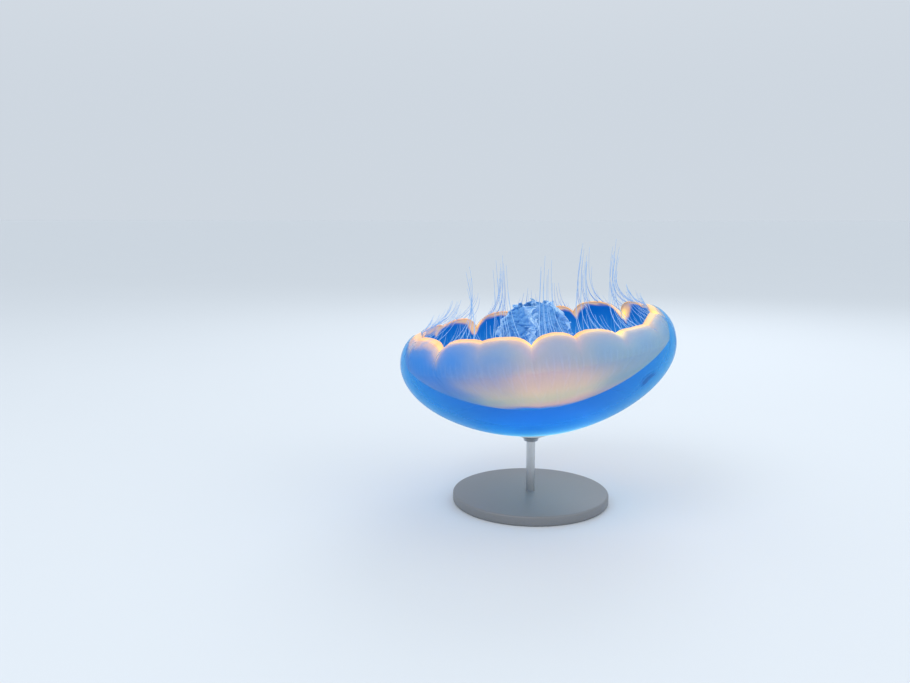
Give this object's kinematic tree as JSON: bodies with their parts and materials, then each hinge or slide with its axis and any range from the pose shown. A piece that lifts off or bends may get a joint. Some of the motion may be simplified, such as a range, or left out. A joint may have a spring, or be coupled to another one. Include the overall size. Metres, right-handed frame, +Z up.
{
  "type": "moon jellyfish",
  "caption": "Life-size still model of a moon jellyfish swimming head down: bowl-shaped bell, scalloped margin, frilled oral arms and fine tentacles, on a plain display stand.",
  "frame": {"origin": "centre of the display stand's underside, on the floor", "axes": "+Z up, -Y towards the front of the model, +X to its right as seen from the front; the bell's own axis leans 7.6 degrees from +Z towards -X"},
  "size_m": [0.248, 0.25, 0.241],
  "materials": {
    "jelly": "gloss",
    "lining": "satin",
    "margin": "satin",
    "sense_organ": "satin",
    "oral_arm": "satin",
    "gonad": "satin",
    "stand_base": "satin",
    "stand_metal": "satin"
  },
  "bodies": {
    "root": {"bell_jelly": "jelly", "bell_lining": "lining", "margin_lobe_01": "margin", "margin_lobe_02": "margin", "margin_lobe_03": "margin", "margin_lobe_04": "margin", "margin_lobe_05": "margin", "margin_lobe_06": "margin", "margin_lobe_07": "margin", "margin_lobe_08": "margin", "margin_lobe_09": "margin", "margin_lobe_10": "margin", "margin_lobe_11": "margin", "margin_lobe_12": "margin", "margin_lobe_13": "margin", "margin_lobe_14": "margin", "margin_lobe_15": "margin", "margin_lobe_16": "margin", "sense_organ_1": "sense_organ", "sense_organ_2": "sense_organ", "sense_organ_3": "sense_organ", "sense_organ_4": "sense_organ", "sense_organ_5": "sense_organ", "sense_organ_6": "sense_organ", "sense_organ_7": "sense_organ", "sense_organ_8": "sense_organ", "mouth": "oral_arm", "oral_arm_1_lower": "oral_arm", "oral_arm_1_upper": "oral_arm", "oral_arm_2_lower": "oral_arm", "oral_arm_2_upper": "oral_arm", "oral_arm_3_lower": "oral_arm", "oral_arm_3_upper": "oral_arm", "oral_arm_4_lower": "oral_arm", "oral_arm_4_upper": "oral_arm", "gonad_1": "gonad", "gonad_2": "gonad", "gonad_3": "gonad", "gonad_4": "gonad", "stand_base": "stand_base", "stand_rod": "stand_metal", "stand_cradle": "stand_metal"}
  },
  "joints": []
}
